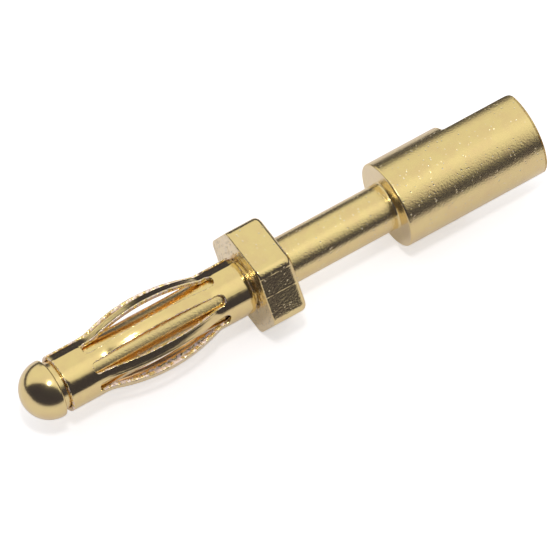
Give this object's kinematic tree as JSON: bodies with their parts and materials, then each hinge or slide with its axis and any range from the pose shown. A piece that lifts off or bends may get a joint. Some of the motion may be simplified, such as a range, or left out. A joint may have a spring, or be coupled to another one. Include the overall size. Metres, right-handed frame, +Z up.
{
  "type": "banana plug",
  "caption": "Gold-plated 4 mm lantern-type banana plug: turned hex-flanged pin with half-open solder cup, and a slotted bowed spring cage.",
  "frame": {"origin": "on the pin's axis, at the hex flange's face that meets the socket", "axes": "X along the pin's axis, with the nose at -X and the solder cup at +X; Z up, square to the two level flats of the hex; Y completes a right-handed frame"},
  "size_m": [0.0352, 0.007, 0.0062],
  "materials": {
    "plated_brass": "gold-plated turned brass, satin, with fine pits",
    "plated_spring": "gold-plated spring copper alloy, bright"
  },
  "bodies": {
    "root": {"pin_body": "plated_brass", "spring_cage": "plated_spring"}
  },
  "joints": []
}
